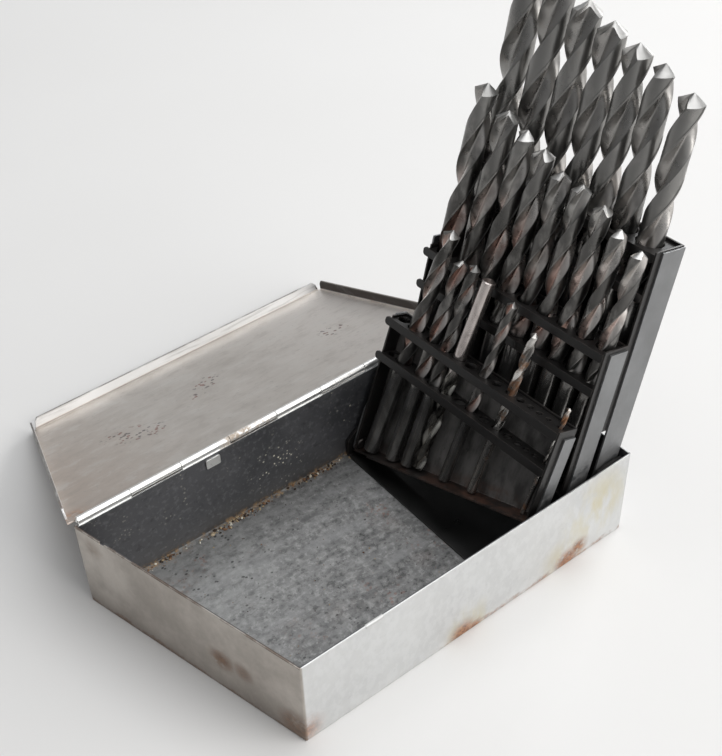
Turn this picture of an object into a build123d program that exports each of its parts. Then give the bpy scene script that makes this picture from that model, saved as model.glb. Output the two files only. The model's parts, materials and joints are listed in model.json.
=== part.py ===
from build123d import *
import os
from math import cos, sin, radians, tan, sqrt

os.makedirs("parts", exist_ok=True)

# ---------------------------------------------------------------- driving dimensions (mm)
# Plan: a right trapezoid. Front side short, hinge side long, right end square, left end slanted.
front_len = 162.0       # front wall
back_len = 190.0        # hinge wall
depth = 107.0           # front wall to hinge wall, outside
rim_z = 43.3            # height of the tray's rim
sheet = 0.8             # steel sheet

ox = -front_len / 2     # the tray's front left corner lies at (ox, oy)
oy = -depth / 2
slant = back_len - front_len

hinge_y = depth + 1.5   # hinge axis, measured from the front wall
hinge_z = 43.5
knuckle_r = 1.5
pin_r = 0.8
bore_r = 0.86
hinge_x0 = -25.5
hinge_x1 = 159.0
knuckles = 8
knuckle_gap = 0.3
leaf_t = 0.6
leaf_w = 11.0

lid_gap = 0.3           # between the tray's walls and the lid's flanges
lid_open = 202.8        # lid in its open position, from closed, its far edge on the table
flange_h = 5.2          # flange below the lid's inner face
lid_in_z = 43.6         # lid's inner face when closed

plate_t = 0.8           # sheet of the folding racks and their arms
near_y = 4.4            # outer face of the near arms
far_y = 103.6           # outer face of the far arms
box_near = near_y + plate_t     # the boxes of the racks stand between the arms
box_far = far_y - plate_t
mid_y = 54.0            # depth at which the heights below are given
foot = 3.7              # arms below the pivot
cheek_t = 1.2
cheek_near = 2.8        # outer face of the bracket's near cheek
cheek_far = 105.2
rivet_r = 1.99
rivet_bore = 2.05
head_r = 2.5

# pivot x, pivot z, lean past vertical, fall of the shelves towards the far end in degrees, back plate n0,
# open front n1, top of the end plates, lip height near, lip height far, upper shelf, lower shelf,
# row of drills n, front edge of the arms n, front edge of their feet, top of the arms
# n is measured from the pivot towards the rack's open front, u from the pivot up the rack.
racks = {
    "front": dict(px=106.0, pz=7.0, lean=20.0, fall=2.3, n0=-5.0, n1=5.0, top=67.0, lip_near=27.9, lip_far=-3.1,
                  up=66.0, low=49.4, row=0.0, arm_n=1.2, foot_n=3.6, arm_top=65.2),
    "middle": dict(px=133.3, pz=20.5, lean=14.0, fall=2.9, n0=-4.1, n1=8.1, top=78.6, lip_near=15.0, lip_far=15.0,
                   up=77.0, low=62.0, row=2.0, arm_n=5.3, foot_n=5.3, arm_top=79.4),
    "back": dict(px=153.6, pz=35.8, lean=13.0, fall=2.4, n0=-4.6, n1=10.8, top=98.2, lip_near=22.6, lip_far=22.6,
                 up=97.0, low=80.5, row=3.1, arm_n=7.7, foot_n=7.7, arm_top=99.8),
}

# y at the shelves, drill diameter (0 = empty hole), length, sideways lean in degrees, hole diameter, point down
front_row = [
    (98.8, 0.0, 0.0, 0.0, 5.6, False),
    (91.6, 7.14, 110.5, -4.2, 7.7, False),
    (80.6, 6.35, 98.0, -2.6, 6.9, False),
    (72.6, 5.95, 96.8, -1.6, 6.5, False),
    (65.4, 5.56, 93.2, -3.4, 6.1, True),
    (58.0, 0.0, 0.0, 0.0, 5.5, False),
    (50.6, 4.76, 86.5, -3.2, 5.3, False),
    (43.4, 0.0, 0.0, 0.0, 4.7, False),
    (36.0, 3.97, 76.4, -3.0, 4.5, False),
    (30.2, 0.0, 0.0, 0.0, 3.9, False),
    (24.9, 0.0, 0.0, 0.0, 3.3, False),
    (20.0, 0.0, 0.0, 0.0, 2.8, False),
    (15.4, 0.0, 0.0, 0.0, 2.5, False),
    (9.6, 1.98, 50.8, -3.6, 2.5, False),
]
middle_row = [
    (96.4, 9.92, 132.5, -0.4, 10.3, False),
    (84.4, 9.53, 127.0, -1.6, 10.0, False),
    (72.7, 9.13, 123.8, -1.2, 9.8, False),
    (61.4, 8.73, 120.7, -0.4, 9.4, False),
    (50.5, 8.33, 116.6, 0.0, 9.0, False),
    (40.0, 7.94, 116.2, 0.0, 8.6, False),
    (29.9, 7.54, 113.2, -1.4, 8.2, False),
    (20.2, 7.14, 108.4, -1.6, 7.8, False),
    (10.8, 6.75, 105.3, -3.2, 7.4, False),
]
back_row = [
    (95.1, 12.70, 152.4, 1.2, 13.3, False),
    (80.6, 12.30, 149.2, 1.2, 12.9, False),
    (66.5, 11.91, 146.0, 1.2, 12.5, False),
    (52.9, 11.51, 142.9, 1.6, 12.1, False),
    (39.7, 11.11, 139.7, 1.8, 11.7, False),
    (26.9, 10.72, 137.0, 2.0, 11.3, False),
    (14.4, 10.32, 132.2, 0.5, 10.9, False),
]
rows = {"front": front_row, "middle": middle_row, "back": back_row}


# ---------------------------------------------------------------- small helpers
def at(x, y, z):
    """A point given from the tray's front left corner."""
    return Vector(x + ox, y + oy, z)


def rack_dirs(r):
    c, s = cos(radians(r["lean"])), sin(radians(r["lean"]))
    return Vector(-c, 0, s), Vector(s, 0, c)          # open-front direction n, up direction u


def side_plane(r, y):
    """Sketch axes (n, u), extruded along +Y."""
    n, u = rack_dirs(r)
    return Plane(origin=at(r["px"], y, r["pz"]), x_dir=n, z_dir=(0, 1, 0))


def face_plane(r, n_off):
    """Sketch axes (world y, u), extruded away from the open front."""
    n, u = rack_dirs(r)
    return Plane(origin=Vector(r["px"] + ox, 0, r["pz"]) + n * n_off, x_dir=(0, 1, 0), z_dir=n * -1)


def fallen_dirs(r):
    """Directions along a shelf and square to it: the shelves fall a little towards the far end."""
    n, u = rack_dirs(r)
    c, s = cos(radians(r["fall"])), sin(radians(r["fall"]))
    return Vector(0, c, 0) - u * s, u * c + Vector(0, s, 0)


def shelf_plane(r, u_off):
    """Sketch axes (along the shelf from mid_y, n), extruded up the rack."""
    n, u = rack_dirs(r)
    along, up = fallen_dirs(r)
    return Plane(origin=at(r["px"], mid_y, r["pz"]) + u * u_off, x_dir=along, z_dir=up)


def rail_plane(r, u_off):
    """Sketch axes (along the shelf from mid_y, up), extruded away from the open front."""
    n, u = rack_dirs(r)
    along, up = fallen_dirs(r)
    return Plane(origin=at(r["px"], mid_y, r["pz"]) + u * u_off + n * r["n1"], x_dir=along, z_dir=n * -1)


def along_shelf(r, y):
    return (y - mid_y) / cos(radians(r["fall"]))


def top_u(r, y):
    return r["top"] - (y - mid_y) * tan(radians(r["fall"]))


def lip_u(r, y):
    t = (y - near_y) / (far_y - near_y)
    return r["lip_near"] + (r["lip_far"] - r["lip_near"]) * t


def wall_x(y, d):
    """x of the slanted wall at depth y, moved outwards by d."""
    length = sqrt(slant ** 2 + depth ** 2)
    return -slant * y / depth - d * length / depth


# the tray's outline moved outwards by d on the front, right and left, with its back edge at y_back
def outline(d, y_back):
    return [(wall_x(-d, d) + ox, -d + oy), (front_len + d + ox, -d + oy),
            (front_len + d + ox, y_back + oy), (wall_x(y_back, d) + ox, y_back + oy)]


# ---------------------------------------------------------------- tray
tab_x = 32.5            # latch tab on the front rim
tab_w = 8.0

with BuildPart() as base_shell:
    with BuildSketch():
        with BuildLine():
            Polyline(*outline(0, depth), close=True)
        make_face()
    extrude(amount=rim_z)
    fillet(base_shell.edges().filter_by(Axis.Z), radius=0.7)
    fillet(base_shell.faces().sort_by(Axis.Z)[0].edges(), radius=0.5)
    with BuildSketch(Plane.XY.offset(sheet)):
        with BuildLine():
            Polyline(*outline(-sheet, depth - sheet), close=True)
        make_face()
    extrude(amount=rim_z, mode=Mode.SUBTRACT)
    # the hinge wall ends a little lower than the rim, under the hinge barrel
    with BuildSketch(Plane.XY.offset(rim_z - 1.1)):
        with Locations((ox + (front_len - sheet + wall_x(depth, -sheet)) / 2 + 0.2, depth + oy - 0.3)):
            Rectangle(front_len - sheet - wall_x(depth, -sheet) - 1.0, 1.4)
    extrude(amount=2, mode=Mode.SUBTRACT)
    # seat for the latch tab in the front rim
    with BuildSketch(Plane.XY.offset(rim_z - 1.5)):
        with Locations((tab_x + ox, 0.8 + oy)):
            Rectangle(tab_w, 2.4)
    extrude(amount=3, mode=Mode.SUBTRACT)
    # small notch in the slanted rim near the hinge
    with BuildSketch(Plane.XY.offset(rim_z - 1.2)):
        with Locations((wall_x(92.5, 0) + ox + 0.8, 92.5 + oy)):
            Rectangle(2.6, 2.6)
    extrude(amount=2, mode=Mode.SUBTRACT)
base_shell.part.label = "base_shell"
export_step(base_shell.part, "parts/base_shell.step")

with BuildPart() as front_latch_tab:
    with BuildSketch(Plane.YZ.offset(tab_x + ox - tab_w / 2 + 0.05)):
        with BuildLine():
            Polyline((-0.18 + oy, rim_z - 1.3), (-0.18 + oy, rim_z - 0.45), (0.1 + oy, rim_z),
                     (0.8 + oy, rim_z), (1.1 + oy, rim_z - 0.3), (1.1 + oy, rim_z - 1.5),
                     (0 + oy, rim_z - 1.5), close=True)
        make_face()
    extrude(amount=tab_w - 0.1)
front_latch_tab.part.label = "front_latch_tab"
export_step(front_latch_tab.part, "parts/front_latch_tab.step")

clip_x = 34.0
with BuildPart() as rear_clip:
    with BuildSketch(Plane.XZ.offset(-(depth - sheet + oy))):
        with Locations((clip_x + ox, 38.9)):
            RectangleRounded(6.6, 4.6, 0.6)
    extrude(amount=0.7)
rear_clip.part.label = "rear_clip"
export_step(rear_clip.part, "parts/rear_clip.step")

# ---------------------------------------------------------------- hinge
pitch = (hinge_x1 - hinge_x0) / knuckles
ring_plane = Plane.YZ

with BuildPart() as base_hinge_leaf:
    with BuildSketch(ring_plane.offset(hinge_x0 + ox)):
        with BuildLine():
            Polyline((depth + oy, 31), (depth + leaf_t + oy, 31),
                     (depth + leaf_t + oy, 41.3), (depth + oy, 41.3), close=True)
        make_face()
    extrude(amount=hinge_x1 - hinge_x0)
    for i in range(0, knuckles, 2):
        with BuildSketch(ring_plane.offset(hinge_x0 + ox + i * pitch + (0 if i == 0 else knuckle_gap / 2))):
            with Locations((hinge_y + oy, hinge_z)):
                Circle(knuckle_r)
            with Locations((depth + leaf_t / 2 + oy, (41.0 + hinge_z) / 2)):
                Rectangle(leaf_t, hinge_z - 41.0)
            with Locations((hinge_y + oy, hinge_z)):
                Circle(bore_r, mode=Mode.SUBTRACT)
        extrude(amount=pitch - knuckle_gap / 2 - (0 if i == 0 else knuckle_gap / 2))
base_hinge_leaf.part.label = "base_hinge_leaf"
export_step(base_hinge_leaf.part, "parts/base_hinge_leaf.step")

with BuildPart() as hinge_pin:
    with BuildSketch(ring_plane.offset(hinge_x0 + ox - 0.5)):
        with Locations((hinge_y + oy, hinge_z)):
            Circle(pin_r)
    extrude(amount=hinge_x1 - hinge_x0 + 1.0)
    chamfer(hinge_pin.edges().filter_by(GeomType.CIRCLE), length=0.2)
hinge_pin.part.label = "hinge_pin"
export_step(hinge_pin.part, "parts/hinge_pin.step")

# The lid and its leaf are built in the closed position and swung open about the hinge axis.
hinge_axis = Axis(at(0, hinge_y, hinge_z), (1, 0, 0))
open_turn = -lid_open

lid_out = lid_gap + sheet
lid_top = lid_in_z + sheet
lid_back_y = hinge_y - 1.9


def flange_plane(p0, p1):
    """Sketch axes along the flange and up, extruded outwards."""
    d = (Vector(*p1, 0) - Vector(*p0, 0)).normalized()
    return Plane(origin=(p0[0], p0[1], lid_in_z), x_dir=d, z_dir=d.cross(Vector(0, 0, 1)))


inner = outline(lid_gap, lid_back_y)
flange_ends = [  # start, end, trim at the start, trim at the end
    (inner[0], inner[1], 0.8, 0.8),
    (inner[1], inner[2], 0.8, 1.4),
    (inner[3], inner[0], 1.4, 0.8),
]

with BuildPart() as lid_build:
    with BuildSketch(Plane.XY.offset(lid_in_z)):
        with BuildLine():
            Polyline(*outline(lid_out, lid_back_y), close=True)
        make_face()
    extrude(amount=sheet)
    # V-shaped reliefs at the two front corners, between the flanges
    for p0, p1, a, b in flange_ends:
        length = (Vector(*p1, 0) - Vector(*p0, 0)).length
        with BuildSketch(flange_plane(p0, p1)):
            with BuildLine():
                Polyline((a, 0.1), (length - b, 0.1), (length - b - 0.9, -flange_h + 1.6),
                         (length - b - 2.3, -flange_h), (a + 2.3, -flange_h), (a + 0.9, -flange_h + 1.6), close=True)
            make_face()
        extrude(amount=sheet)
    top_edges = lid_build.faces().sort_by(Axis.Z)[-1].edges().filter_by(lambda e: e.center().Y < depth + oy - 5)
    fillet(top_edges, radius=0.6)
lid_shell = lid_build.part.rotate(hinge_axis, open_turn)
lid_shell.label = "lid_shell"
export_step(lid_shell, "parts/lid_shell.step")

with BuildPart() as lid_leaf_build:
    with BuildSketch(ring_plane.offset(hinge_x0 + ox)):
        with BuildLine():
            Polyline((lid_back_y - leaf_w + oy, lid_top), (lid_back_y + oy, lid_top),
                     (lid_back_y + oy, lid_top + leaf_t), (lid_back_y - leaf_w + oy, lid_top + leaf_t), close=True)
        make_face()
    extrude(amount=hinge_x1 - hinge_x0)
    for i in range(1, knuckles, 2):
        last = i == knuckles - 1
        with BuildSketch(ring_plane.offset(hinge_x0 + ox + i * pitch + knuckle_gap / 2)):
            with Locations((hinge_y + oy, hinge_z)):
                Circle(knuckle_r)
            with Locations(((lid_back_y - 0.5 + hinge_y) / 2 + oy, lid_top + leaf_t / 2)):
                Rectangle(hinge_y - lid_back_y + 0.5, leaf_t)
            with Locations((hinge_y + oy, hinge_z)):
                Circle(bore_r, mode=Mode.SUBTRACT)
        extrude(amount=pitch - knuckle_gap / 2 - (0 if last else knuckle_gap / 2))
lid_hinge_leaf = lid_leaf_build.part.rotate(hinge_axis, open_turn)
lid_hinge_leaf.label = "lid_hinge_leaf"
export_step(lid_hinge_leaf, "parts/lid_hinge_leaf.step")

# ---------------------------------------------------------------- bracket that carries the racks
cheek_profile = [(100, sheet), (160, sheet), (160, 40.6), (147, 40.6), (126, 27), (104, 13.5), (100, 10)]

with BuildPart() as rack_bracket:
    with BuildSketch(Plane.XY.offset(sheet)):
        with BuildLine():
            Polyline((100 + ox, cheek_near + oy), (160 + ox, cheek_near + oy),
                     (160 + ox, cheek_far + oy), (100 + ox, cheek_far + oy), close=True)
        make_face()
    extrude(amount=sheet)
    for y in (cheek_near, cheek_far - cheek_t):
        with BuildSketch(Plane(origin=(0, y + oy, 0), x_dir=(-1, 0, 0), z_dir=(0, 1, 0))):
            with BuildLine():
                Polyline(*[(-(x + ox), z) for x, z in cheek_profile], close=True)
            make_face()
            for r in racks.values():
                with Locations((-(r["px"] + ox), r["pz"])):
                    Circle(rivet_r + 0.01, mode=Mode.SUBTRACT)
        extrude(amount=cheek_t)
rack_bracket.part.label = "rack_bracket"
export_step(rack_bracket.part, "parts/rack_bracket.step")

# rivets: a stub through each cheek and side plate, with a head outside and one inside
for name, r in racks.items():
    for side, sgn, outer, inner_head in (("near", 1, cheek_near, near_y + plate_t + 0.3),
                                         ("far", -1, cheek_far, far_y - plate_t - 0.3)):
        axis_x, axis_z = r["px"] + ox, r["pz"]
        y0 = outer + oy
        y1 = inner_head + oy
        with BuildPart() as rivet:
            with BuildSketch(Plane(origin=(axis_x, y0, axis_z), x_dir=(1, 0, 0), z_dir=(0, sgn, 0))):
                Circle(rivet_r)
            extrude(amount=abs(y1 - y0))
            with BuildSketch(Plane(origin=(axis_x, y0, axis_z), x_dir=(1, 0, 0), z_dir=(0, -sgn, 0))):
                Circle(head_r)
            extrude(amount=0.7, taper=20)
            with BuildSketch(Plane(origin=(axis_x, y1, axis_z), x_dir=(1, 0, 0), z_dir=(0, sgn, 0))):
                Circle(head_r)
            extrude(amount=0.8, taper=20)
        rivet.part.label = "rivet_" + name + "_" + side
        export_step(rivet.part, "parts/rivet_" + name + "_" + side + ".step")

# ---------------------------------------------------------------- the three folding racks
# two steel arms turn on the rivets and carry the black box between them
for name, r in racks.items():
    n0, arm_n, foot_n = r["n0"], r["arm_n"], r["foot_n"]
    for side, y in (("near", near_y), ("far", far_y - plate_t)):
        with BuildPart() as arm:
            with BuildSketch(side_plane(r, y)):
                with BuildLine():
                    Polyline((n0, r["arm_top"]), (n0, -foot), (foot_n, -foot), (foot_n, 18.0), (arm_n, 26.0),
                             (arm_n, r["arm_top"]), close=True) if foot_n > arm_n else \
                        Polyline((n0, r["arm_top"]), (n0, -foot), (foot_n, -foot), (arm_n, r["arm_top"]), close=True)
                make_face()
                with Locations((0, 0)):
                    Circle(rivet_bore, mode=Mode.SUBTRACT)
            extrude(amount=plate_t)
            # round the feet
            feet = arm.edges().filter_by(Axis.Y).filter_by(lambda e: abs(e.length - plate_t) < 0.01).filter_by(
                lambda e: (e.center() - at(r["px"], 0, r["pz"])).dot(rack_dirs(r)[1]) < -foot + 0.1)
            fillet(feet, radius=2.8)
        arm.part.label = "arm_" + name + "_" + side
        export_step(arm.part, "parts/arm_" + name + "_" + side + ".step")

for name, r in racks.items():
    n0, n1 = r["n0"], r["n1"]
    with BuildPart() as rack:
        # end plates, the far one cut back where the rails pass over it
        for y, open_n in ((box_near, n1), (box_far - plate_t, n1 - 1.4)):
            low_u, high_u = lip_u(r, y) - plate_t, top_u(r, y + plate_t / 2)
            with BuildSketch(side_plane(r, y)):
                with BuildLine():
                    if low_u < -3.0:
                        # round the pivot the plate ends like the arm's foot
                        Polyline((n0, high_u), (n0, -0.9), (n0 + 0.6, -2.4), (n0 + 1.9, -foot + 0.25), (-1.0, -foot),
                                 (1.2, -foot), (2.6, -foot + 0.6), (open_n, -1.6), (open_n, high_u), close=True)
                    else:
                        Polyline((n0, high_u), (n0, low_u), (open_n, low_u), (open_n, high_u), close=True)
                make_face()
                if low_u < -3.0:
                    Circle(3.1, mode=Mode.SUBTRACT)
            extrude(amount=plate_t)
        # back plate, its lower edge slanted where the lip is
        with BuildSketch(face_plane(r, n0 + plate_t)):
            with BuildLine():
                Polyline((box_near + oy, lip_u(r, box_near) - plate_t), (box_far + oy, lip_u(r, box_far) - plate_t),
                         (box_far + oy, top_u(r, box_far)), (box_near + oy, top_u(r, box_near)), close=True)
            make_face()
        extrude(amount=plate_t)
        # lip that the shanks stand on
        with BuildSketch(face_plane(r, n1 - 0.2)):
            with BuildLine():
                Polyline((box_near + oy + 0.2, lip_u(r, box_near) - plate_t), (box_far + oy - 0.2, lip_u(r, box_far) - plate_t),
                         (box_far + oy - 0.2, lip_u(r, box_far)), (box_near + oy + 0.2, lip_u(r, box_near)), close=True)
            make_face()
        extrude(amount=n1 - 0.2 - n0 - 0.2)
        if r["lip_far"] < 0:
            # the low end of the lip is cut back, so that it passes over the bracket as the rack turns
            with BuildSketch(face_plane(r, n1 + 1.0)):
                with BuildLine():
                    Polyline((93.0 + oy, -6.0), (box_far + 0.1 + oy, -6.0), (box_far + 0.1 + oy, 1.6), (93.0 + oy, 1.6), close=True)
                make_face()
            extrude(amount=n1 + 1.0 - 3.2, mode=Mode.SUBTRACT)
            with BuildSketch(side_plane(r, 93.0)):
                with BuildLine():
                    Polyline((n0 - 0.1, -2.2), (n0 + 1.3, -3.3), (n0 + 1.3, -6.0), (n0 - 0.1, -6.0), close=True)
                make_face()
            extrude(amount=box_far - 93.0, mode=Mode.SUBTRACT)
    rack.part.label = "rack_" + name
    export_step(rack.part, "parts/rack_" + name + ".step")

# shelves: a strip with a hole for each drill, its front edge turned down into a rail
for name, r in racks.items():
    n0, n1 = r["n0"], r["n1"]
    mid_u = (r["up"] + r["low"]) / 2 - 0.5
    fall = tan(radians(r["fall"]))
    x0, x1 = along_shelf(r, box_near + plate_t + 0.04), along_shelf(r, box_far - plate_t - 0.04)
    x2 = along_shelf(r, far_y + 1.2)
    for level in ("up", "low"):
        us = r[level]
        with BuildPart() as shelf:
            with BuildSketch(shelf_plane(r, us - 1.0)):
                with BuildLine():
                    Polyline((x0, n0 + plate_t), (x1, n0 + plate_t), (x1, n1), (x0, n1), close=True)
                make_face()
                for y, d, length, lean, hole, flip in rows[name]:
                    t = tan(radians(lean))
                    y_here = (y + (us - 0.5 - mid_u + mid_y * fall) * t) / (1 + t * fall)
                    with Locations((along_shelf(r, y_here), r["row"])):
                        Circle(hole / 2, mode=Mode.SUBTRACT)
            extrude(amount=1.0)
            with BuildSketch(rail_plane(r, us - 1.8)):
                with Locations(((x0 + x2) / 2, 0)):
                    RectangleRounded(x2 - x0, 3.6, 1.5)
            extrude(amount=0.9)
        key = "upper" if level == "up" else "lower"
        shelf.part.label = "shelf_" + name + "_" + key
        export_step(shelf.part, "parts/shelf_" + name + "_" + key + ".step")

# ---------------------------------------------------------------- twist drills
# Each drill is its enclosing round bar with a 118 degree point, standing on the rack's lip.
for name, r in racks.items():
    n_dir, u_dir = rack_dirs(r)
    mid_u = (r["up"] + r["low"]) / 2 - 0.5
    count = 0
    for y, d, length, lean, hole, flip in rows[name]:
        if d == 0:
            continue
        count += 1
        rad = d / 2
        t = tan(radians(lean))
        # foot of the drill: just above the lip under it
        foot_u = mid_u
        for _ in range(20):
            y_foot = y + (foot_u - mid_u) * t
            foot_u = max(lip_u(r, y_foot - rad), lip_u(r, y_foot + rad)) + 0.25 + rad * abs(sin(radians(lean)))
            if flip:
                foot_u = lip_u(r, y_foot) + 0.6
        y_foot = y + (foot_u - mid_u) * t
        axis_dir = (Vector(0, 1, 0) * sin(radians(lean)) + u_dir * cos(radians(lean))).normalized()
        foot = at(r["px"], y_foot, r["pz"]) + u_dir * foot_u + n_dir * r["row"]
        side_dir = n_dir.cross(axis_dir).normalized()
        tip = 0.6 * rad
        with BuildPart() as drill:
            with BuildSketch(Plane(origin=foot, x_dir=side_dir, z_dir=side_dir.cross(axis_dir))):
                with BuildLine():
                    if flip:
                        Polyline((0, 0), (rad, tip), (rad, length - 0.4), (rad - 0.4, length), (0, length), close=True)
                    else:
                        Polyline((0, 0), (rad - 0.3, 0), (rad, 0.3), (rad, length - tip), (0, length), close=True)
                make_face()
            revolve(axis=Axis(foot, axis_dir), revolution_arc=360)
        drill.part.label = "drill_" + name + "_" + str(count)
        export_step(drill.part, "parts/drill_" + name + "_" + str(count) + ".step")
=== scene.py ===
import bpy, bmesh, json, math, random
from mathutils import Vector, Matrix, noise


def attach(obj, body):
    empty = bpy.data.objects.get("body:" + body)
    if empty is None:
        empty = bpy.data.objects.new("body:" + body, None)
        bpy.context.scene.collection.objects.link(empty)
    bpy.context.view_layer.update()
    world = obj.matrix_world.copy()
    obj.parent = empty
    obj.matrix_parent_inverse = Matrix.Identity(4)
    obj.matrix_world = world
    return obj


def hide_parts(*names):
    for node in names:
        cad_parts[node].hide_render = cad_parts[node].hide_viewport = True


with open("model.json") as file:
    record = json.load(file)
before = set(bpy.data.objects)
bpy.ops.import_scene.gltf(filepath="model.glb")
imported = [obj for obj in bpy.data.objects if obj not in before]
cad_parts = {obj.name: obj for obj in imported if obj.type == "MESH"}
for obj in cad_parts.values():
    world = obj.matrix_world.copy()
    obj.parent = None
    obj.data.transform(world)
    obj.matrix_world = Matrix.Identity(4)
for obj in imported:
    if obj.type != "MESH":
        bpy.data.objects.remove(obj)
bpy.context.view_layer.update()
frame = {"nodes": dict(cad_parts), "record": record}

# ------------------------------------------------------------------ camera, matched to the photograph
cam_data = bpy.data.cameras.new("camera")
cam = bpy.data.objects.new("camera", cam_data)
bpy.context.scene.collection.objects.link(cam)
cam_data.sensor_fit = "HORIZONTAL"
cam_data.sensor_width = 36.0
cam_data.lens = 1292.55 / 722 * 36.0
cam_data.clip_start = 0.01
cam_data.clip_end = 20
right = Vector((0.7856, -0.6182, -0.0253))
down = Vector((-0.4251, -0.5096, -0.7481))
ahead = Vector((0.4496, 0.5985, -0.6631))
rot = Matrix((right, -down, -ahead)).transposed()
cam.matrix_world = Matrix.Translation((-0.2193, -0.2776, 0.4064)) @ rot.to_4x4()
bpy.context.scene.camera = cam
bpy.context.scene.view_settings.view_transform = "Standard"
bpy.context.scene.view_settings.look = "None"

# ------------------------------------------------------------------ material helpers


class Mat:
    """A small builder for node materials."""

    def __init__(self, name):
        self.m = bpy.data.materials.new(name)
        self.m.use_nodes = True
        self.nt = self.m.node_tree
        self.nt.nodes.clear()
        self.out = self.nt.nodes.new("ShaderNodeOutputMaterial")
        self.bsdf = self.nt.nodes.new("ShaderNodeBsdfPrincipled")
        self.nt.links.new(self.bsdf.outputs[0], self.out.inputs[0])
        self.co = self.nt.nodes.new("ShaderNodeTexCoord").outputs["Object"]
        self.height = None

    def put(self, sock, v):
        if isinstance(v, bpy.types.NodeSocket):
            self.nt.links.new(v, sock)
        elif isinstance(v, (tuple, list)) and sock.type == "RGBA":
            sock.default_value = (*v[:3], 1)
        else:
            sock.default_value = v

    def math(self, op, a, b=0.0, c=0.0, clamp=False):
        n = self.nt.nodes.new("ShaderNodeMath")
        n.operation = op
        n.use_clamp = clamp
        self.put(n.inputs[0], a)
        self.put(n.inputs[1], b)
        if op in ("MULTIPLY_ADD", "SMOOTH_MIN", "COMPARE"):
            self.put(n.inputs[2], c)
        return n.outputs[0]

    def add(self, a, b): return self.math("ADD", a, b)
    def sub(self, a, b): return self.math("SUBTRACT", a, b)
    def mul(self, a, b): return self.math("MULTIPLY", a, b)
    def maxi(self, a, b): return self.math("MAXIMUM", a, b)
    def mini(self, a, b): return self.math("MINIMUM", a, b)

    def xyz(self):
        n = self.nt.nodes.new("ShaderNodeSeparateXYZ")
        self.nt.links.new(self.co, n.inputs[0])
        return n.outputs

    def ramp(self, v, lo, hi, a=0.0, b=1.0, smooth=True):
        n = self.nt.nodes.new("ShaderNodeMapRange")
        n.interpolation_type = "SMOOTHSTEP" if smooth else "LINEAR"
        n.clamp = True
        self.put(n.inputs["Value"], v)
        n.inputs["From Min"].default_value = lo
        n.inputs["From Max"].default_value = hi
        n.inputs["To Min"].default_value = a
        n.inputs["To Max"].default_value = b
        return n.outputs[0]

    def scaled(self, s=(1, 1, 1), loc=(0, 0, 0), rot=(0, 0, 0), vec=None):
        n = self.nt.nodes.new("ShaderNodeMapping")
        self.nt.links.new(vec if vec is not None else self.co, n.inputs[0])
        n.inputs["Scale"].default_value = s
        n.inputs["Location"].default_value = loc
        n.inputs["Rotation"].default_value = rot
        return n.outputs[0]

    def noise(self, scale, detail=4, rough=0.55, vec=None, distort=0.0, seed=0.0):
        n = self.nt.nodes.new("ShaderNodeTexNoise")
        n.noise_dimensions = "4D"
        n.inputs["W"].default_value = seed
        self.nt.links.new(vec if vec is not None else self.co, n.inputs["Vector"])
        n.inputs["Scale"].default_value = scale
        n.inputs["Detail"].default_value = detail
        n.inputs["Roughness"].default_value = rough
        n.inputs["Distortion"].default_value = distort
        return n.outputs["Fac"]

    def cells(self, scale, vec=None, feature="F1", rand=1.0):
        n = self.nt.nodes.new("ShaderNodeTexVoronoi")
        n.feature = feature
        self.nt.links.new(vec if vec is not None else self.co, n.inputs["Vector"])
        n.inputs["Scale"].default_value = scale
        n.inputs["Randomness"].default_value = rand
        return n.outputs["Distance"]

    def mix(self, fac, a, b):
        n = self.nt.nodes.new("ShaderNodeMix")
        n.data_type = "RGBA"
        self.put(n.inputs[0], fac)
        self.put(n.inputs[6], a)
        self.put(n.inputs[7], b)
        return n.outputs[2]

    def mixf(self, fac, a, b):
        n = self.nt.nodes.new("ShaderNodeMix")
        n.data_type = "FLOAT"
        self.put(n.inputs[0], fac)
        self.put(n.inputs[2], a)
        self.put(n.inputs[3], b)
        return n.outputs[0]

    def ball(self, c, r0, r1):
        """1 within r0 of point c, fading to 0 at r1."""
        d = self.nt.nodes.new("ShaderNodeVectorMath")
        d.operation = "DISTANCE"
        self.nt.links.new(self.co, d.inputs[0])
        d.inputs[1].default_value = c
        return self.ramp(d.outputs["Value"], r0, r1, 1.0, 0.0)

    def edge(self, radius, lo=0.02, hi=0.25):
        """1 on edges of the mesh, 0 on its flats, from the difference of the bevelled normal."""
        bev = self.nt.nodes.new("ShaderNodeBevel")
        bev.samples = 4
        bev.inputs["Radius"].default_value = radius
        geo = self.nt.nodes.new("ShaderNodeNewGeometry")
        dot = self.nt.nodes.new("ShaderNodeVectorMath")
        dot.operation = "DOT_PRODUCT"
        self.nt.links.new(bev.outputs[0], dot.inputs[0])
        self.nt.links.new(geo.outputs["Normal"], dot.inputs[1])
        return self.ramp(self.sub(1.0, dot.outputs["Value"]), lo, hi)

    def finish(self, color, rough, metal=1.0, height=None, dist=0.0002, strength=0.5, bevel=0.0, spec=None):
        self.put(self.bsdf.inputs["Base Color"], color)
        self.put(self.bsdf.inputs["Roughness"], rough)
        self.put(self.bsdf.inputs["Metallic"], metal)
        if spec is not None:
            self.bsdf.inputs["Specular IOR Level"].default_value = spec
        normal = None
        if bevel:
            b = self.nt.nodes.new("ShaderNodeBevel")
            b.samples = 4
            b.inputs["Radius"].default_value = bevel
            normal = b.outputs[0]
        if height is not None:
            n = self.nt.nodes.new("ShaderNodeBump")
            n.inputs["Distance"].default_value = dist
            n.inputs["Strength"].default_value = strength
            self.put(n.inputs["Height"], height)
            if normal is not None:
                self.nt.links.new(normal, n.inputs["Normal"])
            normal = n.outputs[0]
        if normal is not None:
            self.nt.links.new(normal, self.bsdf.inputs["Normal"])
        return self.m


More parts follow.
